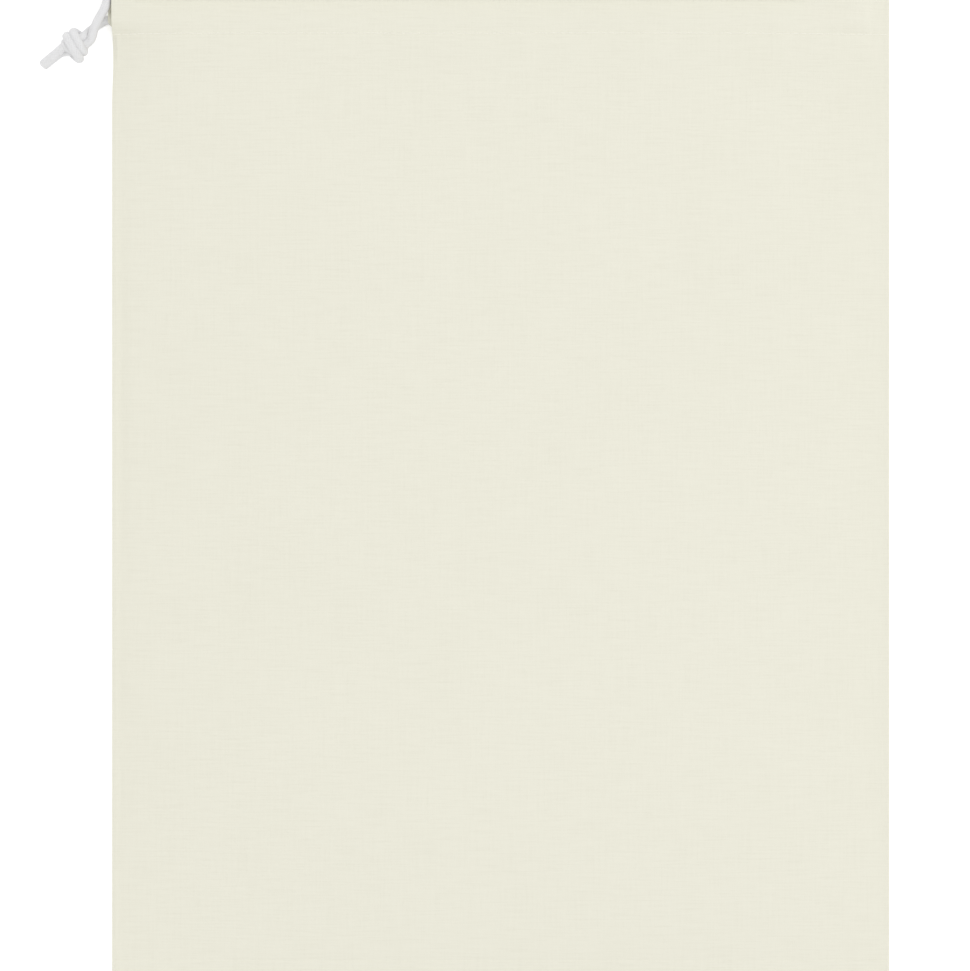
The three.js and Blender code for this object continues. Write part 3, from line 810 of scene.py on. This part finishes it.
def stitch_row_tree():
    """Thread stitches set along a curve: each a short bow that dips into the cloth."""
    tree = bpy.data.node_groups.new("stitch row", "GeometryNodeTree")
    face = tree.interface
    face.new_socket("Seam", in_out="INPUT", socket_type="NodeSocketGeometry")
    for name in ("Pitch", "Stitch Length", "Thread Radius", "Bow Height"):
        face.new_socket(name, in_out="INPUT", socket_type="NodeSocketFloat")
    face.new_socket("Thread", in_out="INPUT", socket_type="NodeSocketMaterial")
    face.new_socket("Stitches", in_out="OUTPUT", socket_type="NodeSocketGeometry")
    start = add_node(tree, "NodeGroupInput")
    end = add_node(tree, "NodeGroupOutput")
    link = tree.links.new

    bow = add_node(tree, "GeometryNodeCurvePrimitiveBezierSegment")
    bow.inputs["Resolution"].default_value = BOW_STEPS
    # Each point of the bow, as shares of the stitch's length and of its height
    places = (("Start", -0.5, -1.1), ("Start Handle", -0.42, 1.0),
              ("End Handle", 0.42, 1.0), ("End", 0.5, -1.1))
    for socket, along, up in places:
        at = add_node(tree, "ShaderNodeCombineXYZ")
        link(calc(tree, "MULTIPLY", start.outputs["Stitch Length"], along), at.inputs["X"])
        link(calc(tree, "MULTIPLY", start.outputs["Bow Height"], up), at.inputs["Z"])
        link(at.outputs[0], bow.inputs[socket])

    section = add_node(tree, "GeometryNodeCurvePrimitiveCircle")
    section.inputs["Resolution"].default_value = THREAD_SIDES
    link(start.outputs["Thread Radius"], section.inputs["Radius"])
    thread = add_node(tree, "GeometryNodeCurveToMesh")
    thread.inputs["Fill Caps"].default_value = True
    link(bow.outputs["Curve"], thread.inputs["Curve"])
    link(section.outputs["Curve"], thread.inputs["Profile Curve"])

    points = add_node(tree, "GeometryNodeCurveToPoints", mode="LENGTH")
    link(start.outputs["Seam"], points.inputs["Curve"])
    link(start.outputs["Pitch"], points.inputs["Length"])
    aim = add_node(tree, "FunctionNodeAlignRotationToVector", axis="X")
    link(points.outputs["Tangent"], aim.inputs["Vector"])
    sway = add_node(tree, "FunctionNodeRandomValue", data_type="FLOAT_VECTOR")
    sway.inputs["Min"].default_value = -STITCH_SWAY
    sway.inputs["Max"].default_value = STITCH_SWAY
    sway.inputs["Seed"].default_value = STITCH_SEED
    turned = add_node(tree, "FunctionNodeRotateRotation")
    link(aim.outputs[0], turned.inputs["Rotation"])
    link(sway.outputs["Value"], turned.inputs["Rotate By"])
    place = add_node(tree, "GeometryNodeInstanceOnPoints")
    link(points.outputs["Points"], place.inputs["Points"])
    link(thread.outputs["Mesh"], place.inputs["Instance"])
    link(turned.outputs[0], place.inputs["Rotation"])
    real = add_node(tree, "GeometryNodeRealizeInstances")
    smooth_faces = add_node(tree, "GeometryNodeSetShadeSmooth")
    finish = add_node(tree, "GeometryNodeSetMaterial")
    link(place.outputs["Instances"], real.inputs["Geometry"])
    link(real.outputs["Geometry"], smooth_faces.inputs["Geometry"])
    link(smooth_faces.outputs["Geometry"], finish.inputs["Geometry"])
    link(start.outputs["Thread"], finish.inputs["Material"])
    link(finish.outputs["Geometry"], end.inputs["Stitches"])
    return tree


def along_stitch_line(layer, spacing, faces_up):
    """Height of one face of a cloth layer on its stitch line, straight between its columns."""
    places = [x for side, x, *roll in panel_columns(spacing) if side == 0]
    heights = [layer(x, STITCH_LINE) + SHEET / 2 * (1 if faces_up else -1) for x in places]

    def height_at(x):
        after = min(max(bisect(places, x), 1), len(places) - 1)
        share = (x - places[after - 1]) / (places[after] - places[after - 1])
        return mix(heights[after - 1], heights[after], share)

    return height_at


def make_stitches(name, tree, height_at, faces_up, material):
    """One row of stitches along the stitch line, on the face of cloth at height_at(x)."""
    seam = bpy.data.curves.new(name, "CURVE")
    seam.dimensions = "3D"
    stations = steps(-SIDE + STITCH_MARGIN, SIDE - STITCH_MARGIN, STITCH_PITCH / 2)
    spline = seam.splines.new("POLY")
    spline.points.add(len(stations) - 1)
    for point, x in zip(spline.points, stations):
        wander = STITCH_WANDER * noise(Vector((x / STITCH_WANDER_LENGTH, 5.5, 1.5)))
        point.co = (x, STITCH_LINE + wander, height_at(x), 1.0)
    row = link_object(name, seam)
    sew = row.modifiers.new("stitches", "NODES")
    sew.node_group = tree
    values = {
        "Pitch": STITCH_PITCH,
        "Stitch Length": STITCH_LENGTH,
        "Thread Radius": THREAD_RADIUS,
        "Bow Height": BOW_HEIGHT if faces_up else -BOW_HEIGHT,
        "Thread": material,
    }
    for item in tree.interface.items_tree:
        if item.in_out == "INPUT" and item.name in values:
            sew[item.identifier] = values[item.name]
    graph = bpy.context.evaluated_depsgraph_get()
    mesh = bpy.data.meshes.new_from_object(row.evaluated_get(graph))
    bpy.data.objects.remove(row)
    return link_object(name, mesh)


# Materials

THREAD_PITCH = 0.46 * MM
THREAD_WANDER = 1.1 * MM  # how far the threads of the cloth wander from straight
WEFT_SLUBS = (75.0, 1500.0, 1.0)  # thick places: long along the thread, short across it
WARP_SLUBS = (1300.0, 45.0, 1.0)
CLOTH_COLOUR = (0.818, 0.803, 0.692)
CORD_COLOUR = (0.843, 0.842, 0.849)
# Paler than the cloth: partly the thread's own tone, partly painted light that offsets the shade on
# the thread's sides.
LIGHTENED_THREAD_COLOUR = (0.92, 0.905, 0.81)


def new_group(name, inputs, outputs):
    tree = bpy.data.node_groups.new(name, "ShaderNodeTree")
    for label, kind in inputs:
        tree.interface.new_socket(label, in_out="INPUT", socket_type=kind)
    for label, kind in outputs:
        tree.interface.new_socket(label, in_out="OUTPUT", socket_type=kind)
    return tree, add_node(tree, "NodeGroupInput"), add_node(tree, "NodeGroupOutput")


def noise_value(tree, vector, scale, detail=2.0, roughness=0.5):
    node = add_node(tree, "ShaderNodeTexNoise", noise_dimensions="3D")
    node.inputs["Scale"].default_value = scale
    node.inputs["Detail"].default_value = detail
    node.inputs["Roughness"].default_value = roughness
    tree.links.new(vector, node.inputs["Vector"])
    return node


def thread_wave(tree, distance, pitch):
    """1 or -1 along the middle of every thread, and 0 between two threads."""
    turns = calc(tree, "DIVIDE", distance, pitch)
    return calc(tree, "COSINE", calc(tree, "MULTIPLY", turns, math.pi))


def thread_section(tree, across, along):
    """Height of a thread where it lies on top: round across, and long and flat along."""
    rounded = calc(tree, "POWER", across, 1.4)
    return calc(tree, "MULTIPLY", rounded, calc(tree, "POWER", along, 0.5))


def weave_group():
    """Plain weave: warp and weft threads over and under each other, of uneven thickness."""
    inputs = (("Flat", "NodeSocketVector"), ("Thread Pitch", "NodeSocketFloat"))
    outputs = (("Height", "NodeSocketFloat"), ("Slub", "NodeSocketFloat"))
    tree, start, end = new_group("plain weave", inputs, outputs)
    link = tree.links.new
    flat = start.outputs["Flat"]
    wander = noise_value(tree, flat, 90.0, 2.0)
    centred = add_node(tree, "ShaderNodeVectorMath", operation="SUBTRACT")
    link(wander.outputs["Color"], centred.inputs[0])
    centred.inputs[1].default_value = (0.5, 0.5, 0.5)
    small = add_node(tree, "ShaderNodeVectorMath", operation="SCALE")
    link(centred.outputs[0], small.inputs[0])
    small.inputs["Scale"].default_value = THREAD_WANDER
    moved = add_node(tree, "ShaderNodeVectorMath", operation="ADD")
    link(flat, moved.inputs[0])
    link(small.outputs[0], moved.inputs[1])
    parts = add_node(tree, "ShaderNodeSeparateXYZ")
    link(moved.outputs[0], parts.inputs[0])
    pitch = start.outputs["Thread Pitch"]
    warp, weft = (thread_wave(tree, parts.outputs[axis], pitch) for axis in "XY")
    warp_up = calc(tree, "GREATER_THAN", calc(tree, "MULTIPLY", warp, weft), 0.0)
    warp_size = calc(tree, "ABSOLUTE", warp)
    weft_size = calc(tree, "ABSOLUTE", weft)
    weft_up = calc(tree, "SUBTRACT", 1.0, warp_up)
    round_warp = thread_section(tree, warp_size, weft_size)
    round_weft = thread_section(tree, weft_size, warp_size)
    threads = calc(tree, "ADD", calc(tree, "MULTIPLY", round_warp, warp_up),
                   calc(tree, "MULTIPLY", round_weft, weft_up))

    stretched = add_node(tree, "ShaderNodeMapping")
    stretched.inputs["Scale"].default_value = WEFT_SLUBS
    link(flat, stretched.inputs["Vector"])
    weft_slub = noise_value(tree, stretched.outputs[0], 1.0, 1.0)
    upright = add_node(tree, "ShaderNodeMapping")
    upright.inputs["Scale"].default_value = WARP_SLUBS
    upright.inputs["Location"].default_value = (7.0, 3.0, 2.0)
    link(flat, upright.inputs["Vector"])
    warp_slub = noise_value(tree, upright.outputs[0], 1.0, 1.0)
    slub = calc(tree, "ADD", calc(tree, "MULTIPLY", weft_slub.outputs[0], 0.65),
                calc(tree, "MULTIPLY", warp_slub.outputs[0], 0.35))
    height = calc(tree, "ADD", threads, calc(tree, "MULTIPLY", slub, 1.6))
    link(height, end.inputs["Height"])
    link(slub, end.inputs["Slub"])
    return tree


def fibre_group():
    """Fine cotton fibres standing off a surface, as a faint unevenness of colour and height."""
    inputs = (("Place", "NodeSocketVector"), ("Fibre Size", "NodeSocketFloat"))
    outputs = (("Height", "NodeSocketFloat"), ("Shade", "NodeSocketFloat"))
    tree, start, end = new_group("cotton fibres", inputs, outputs)
    scaled = add_node(tree, "ShaderNodeVectorMath", operation="SCALE")
    tree.links.new(start.outputs["Place"], scaled.inputs[0])
    tree.links.new(calc(tree, "DIVIDE", 1.0, start.outputs["Fibre Size"]), scaled.inputs["Scale"])
    fine = noise_value(tree, scaled.outputs[0], 1.0, 4.0, 0.7)
    wide = noise_value(tree, scaled.outputs[0], 0.013, 2.0, 0.5)
    tree.links.new(fine.outputs[0], end.inputs["Height"])
    tree.links.new(wide.outputs[0], end.inputs["Shade"])
    return tree


def place_group(tree, group, **values):
    node = add_node(tree, "ShaderNodeGroup", node_tree=group)
    for name, value in values.items():
        node.inputs[name.replace("_", " ")].default_value = value
    return node


def ramp(tree, value, dark, light, low, high):
    """A colour between dark and light as value goes from low to high."""
    node = add_node(tree, "ShaderNodeValToRGB")
    node.color_ramp.elements[0].position = low
    node.color_ramp.elements[1].position = high
    node.color_ramp.elements[0].color = (*dark, 1.0)
    node.color_ramp.elements[1].color = (*light, 1.0)
    tree.links.new(value, node.inputs["Fac"])
    return node.outputs["Color"]


def multiply(tree, first, second):
    node = add_node(tree, "ShaderNodeMix", data_type="RGBA", blend_type="MULTIPLY")
    node.inputs["Factor"].default_value = 1.0
    tree.links.new(first, node.inputs["A"])
    tree.links.new(second, node.inputs["B"])
    return node.outputs["Result"]


def shaded(colour, share):
    return tuple(channel * share for channel in colour)


def new_material(name, **values):
    """A material with its tree and its shader, some of whose inputs are set."""
    material = bpy.data.materials.new(name)
    material.use_nodes = True
    shader = material.node_tree.nodes["Principled BSDF"]
    for socket, value in values.items():
        shader.inputs[socket.replace("_", " ")].default_value = value
    return material, material.node_tree, shader


def add_bump(tree, shader, height, strength, distance):
    bump = add_node(tree, "ShaderNodeBump")
    bump.inputs["Strength"].default_value = strength
    bump.inputs["Distance"].default_value = distance
    tree.links.new(height, bump.inputs["Height"])
    tree.links.new(bump.outputs["Normal"], shader.inputs["Normal"])


def cloth_material(weave, fibres):
    material, tree, shader = new_material(
        "unbleached cotton cloth", Roughness=0.92, Specular_IOR_Level=0.18,
        Sheen_Weight=0.1, Sheen_Roughness=0.6,
    )
    link = tree.links.new
    flat = add_node(tree, "ShaderNodeUVMap", uv_map="flat")
    place = add_node(tree, "ShaderNodeTexCoord")
    cloth = place_group(tree, weave, Thread_Pitch=THREAD_PITCH)
    link(flat.outputs["UV"], cloth.inputs["Flat"])
    fluff = place_group(tree, fibres, Fibre_Size=0.4 * MM)
    link(place.outputs["Object"], fluff.inputs["Place"])
    darker = shaded(CLOTH_COLOUR, 0.994)
    lighter = shaded(CLOTH_COLOUR, 1.003)
    streaks = ramp(tree, cloth.outputs["Slub"], darker, lighter, 0.36, 0.62)
    patches = ramp(tree, fluff.outputs["Shade"], (0.996, 0.996, 0.994), (1.0, 1.0, 1.0), 0.35, 0.62)
    # Painted shade: the cloth is darker where the weave lies low, between its threads and along its
    # thinner yarn.
    between = ramp(tree, cloth.outputs["Height"], (0.95, 0.945, 0.93), (1.0, 1.0, 1.0), 0.55, 1.25)
    link(multiply(tree, multiply(tree, streaks, patches), between), shader.inputs["Base Color"])
    fuzz = calc(tree, "MULTIPLY", fluff.outputs["Height"], 0.5)
    relief = calc(tree, "ADD", cloth.outputs["Height"], fuzz)
    add_bump(tree, shader, relief, strength=0.5, distance=0.1 * MM)
    return material


def cord_material(fibres):
    material, tree, shader = new_material(
        "braided cotton cord", Roughness=0.85, Specular_IOR_Level=0.25,
        Sheen_Weight=0.12, Sheen_Roughness=0.5,
    )
    link = tree.links.new
    groove = add_node(tree, "ShaderNodeAttribute", attribute_name="groove")
    flat = add_node(tree, "ShaderNodeUVMap", uv_map="flat")
    parts = add_node(tree, "ShaderNodeSeparateXYZ")
    link(flat.outputs["UV"], parts.inputs[0])
    round_cord = calc(tree, "MULTIPLY", parts.outputs["X"], BRAID_STRANDS / (math.pi * CORD))
    along_cord = calc(tree, "DIVIDE", parts.outputs["Y"], BRAID_LAY)
    left = calc(tree, "MULTIPLY", calc(tree, "ADD", round_cord, along_cord), 6 * math.pi)
    right = calc(tree, "MULTIPLY", calc(tree, "SUBTRACT", round_cord, along_cord), 6 * math.pi)
    both_ways = calc(tree, "ADD", calc(tree, "SINE", left), calc(tree, "SINE", right))
    plies = calc(tree, "MULTIPLY", both_ways, 0.25)
    fluff = place_group(tree, fibres, Fibre_Size=0.3 * MM)
    place = add_node(tree, "ShaderNodeTexCoord")
    link(place.outputs["Object"], fluff.inputs["Place"])
    # Painted shade: the braid is darker in its grooves, by the mesh's groove depth.
    strands = ramp(tree, groove.outputs["Fac"], CORD_COLOUR, shaded(CORD_COLOUR, 0.86), 0.15, 0.95)
    fuzz = ramp(tree, fluff.outputs["Height"], (0.96, 0.96, 0.955), (1.0, 1.0, 1.0), 0.35, 0.6)
    link(multiply(tree, strands, fuzz), shader.inputs["Base Color"])
    relief = calc(tree, "ADD", plies, fluff.outputs["Height"])
    add_bump(tree, shader, relief, strength=0.6, distance=0.08 * MM)
    return material


def thread_material(fibres):
    material, tree, shader = new_material("sewing thread", Roughness=0.75, Sheen_Weight=0.1)
    link = tree.links.new
    place = add_node(tree, "ShaderNodeTexCoord")
    slant = add_node(tree, "ShaderNodeTexWave", wave_type="BANDS", bands_direction="DIAGONAL")
    slant.inputs["Scale"].default_value = 900.0
    slant.inputs["Distortion"].default_value = 1.5
    link(place.outputs["Object"], slant.inputs["Vector"])
    fluff = place_group(tree, fibres, Fibre_Size=0.15 * MM)
    link(place.outputs["Object"], fluff.inputs["Place"])
    # Painted shade: the thread is darker in the low bands of its twist, which are the grooves of
    # its bump.
    twist = ramp(tree, slant.outputs["Fac"], shaded(LIGHTENED_THREAD_COLOUR, 0.93), LIGHTENED_THREAD_COLOUR, 0.2, 0.8)
    fuzz = ramp(tree, fluff.outputs["Height"], (0.95, 0.95, 0.94), (1.0, 1.0, 1.0), 0.35, 0.6)
    link(multiply(tree, twist, fuzz), shader.inputs["Base Color"])
    add_bump(tree, shader, slant.outputs["Fac"], strength=0.5, distance=0.03 * MM)
    return material


def give(piece, material):
    piece.data.materials.clear()
    piece.data.materials.append(material)


weave = weave_group()
fibres = fibre_group()
cloth_finish = cloth_material(weave, fibres)
cord_finish = cord_material(fibres)
thread_finish = thread_material(fibres)

give(front, cloth_finish)
give(back, cloth_finish)
for piece in cord_pieces:
    give(piece, cord_finish)

stitch_tree = stitch_row_tree()
STITCH_ROWS = (
    ("front_stitches", front_outer, FRONT_SPACING, True),
    ("front_stitches_inside", front_hem, FRONT_SPACING, False),
    ("back_stitches", back_outer, BACK_SPACING, False),
    ("back_stitches_inside", back_hem, BACK_SPACING, True),
)
stitches = {}
for name, layer, spacing, faces_up in STITCH_ROWS:
    height_at = along_stitch_line(layer, spacing, faces_up)
    stitches[name] = make_stitches(name, stitch_tree, height_at, faces_up, thread_finish)


# Light and floor

DOME_STRENGTH = 0.86
KEY_WATTS = 15.0
KEY_PLACE = Vector((0.5, 0.4, 2.5))
KEY_SIZE = 1.6
FLOOR_SIZE = 3.0
FLOOR_GLOW = 0.3  # a lit table, so that shadows on it stay faint


def make_light():
    world = bpy.data.worlds.new("studio")
    world.use_nodes = True
    background = world.node_tree.nodes["Background"]
    background.inputs["Color"].default_value = (1.0, 1.0, 1.0, 1.0)
    background.inputs["Strength"].default_value = DOME_STRENGTH
    bpy.context.scene.world = world
    lamp = bpy.data.lights.new("softbox", "AREA")
    lamp.shape = "SQUARE"
    lamp.size = KEY_SIZE
    lamp.energy = KEY_WATTS
    softbox = link_object("softbox", lamp)
    softbox.location = KEY_PLACE
    softbox.rotation_euler = KEY_PLACE.to_track_quat("Z", "Y").to_euler()
    bpy.context.scene.view_settings.view_transform = "Standard"


def make_floor():
    half = FLOOR_SIZE / 2
    corners = [(-half, -half, 0.0), (half, -half, 0.0), (half, half, 0.0), (-half, half, 0.0)]
    mesh = bpy.data.meshes.new("floor")
    mesh.from_pydata(corners, [], [(0, 1, 2, 3)])
    floor = link_object("floor", mesh)
    material, tree, shader = new_material(
        "white paper", Roughness=1.0, Specular_IOR_Level=0.0,
        Emission_Color=(1.0, 1.0, 1.0, 1.0), Emission_Strength=FLOOR_GLOW,
    )
    place = add_node(tree, "ShaderNodeTexCoord")
    grain = noise_value(tree, place.outputs["Object"], 60.0, 3.0)
    tint = ramp(tree, grain.outputs[0], (0.955, 0.955, 0.955), (0.975, 0.975, 0.975), 0.3, 0.7)
    tree.links.new(tint, shader.inputs["Base Color"])
    mesh.materials.append(material)


make_light()
make_floor()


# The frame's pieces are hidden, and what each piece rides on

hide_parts("front_panel")
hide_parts("back_panel")
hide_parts("casing_cord")
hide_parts("front_strand", "knot", "front_tail")
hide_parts("back_strand", "back_tail")

cloth_pieces = [front, back] + list(stitches.values())
for piece in cloth_pieces + cord_pieces:
    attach(piece, "root")

SLOT_EXITS = {
    "front": (-SIDE, FRONT_EXIT, front_cord_height(-SIDE)),
    "back": (-SIDE, BACK_RUN, BACK_CORD_HEIGHT),
}
for name, exit_point in SLOT_EXITS.items():
    cord, points = cords[name]
    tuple(exit_point)
    length_of(points)
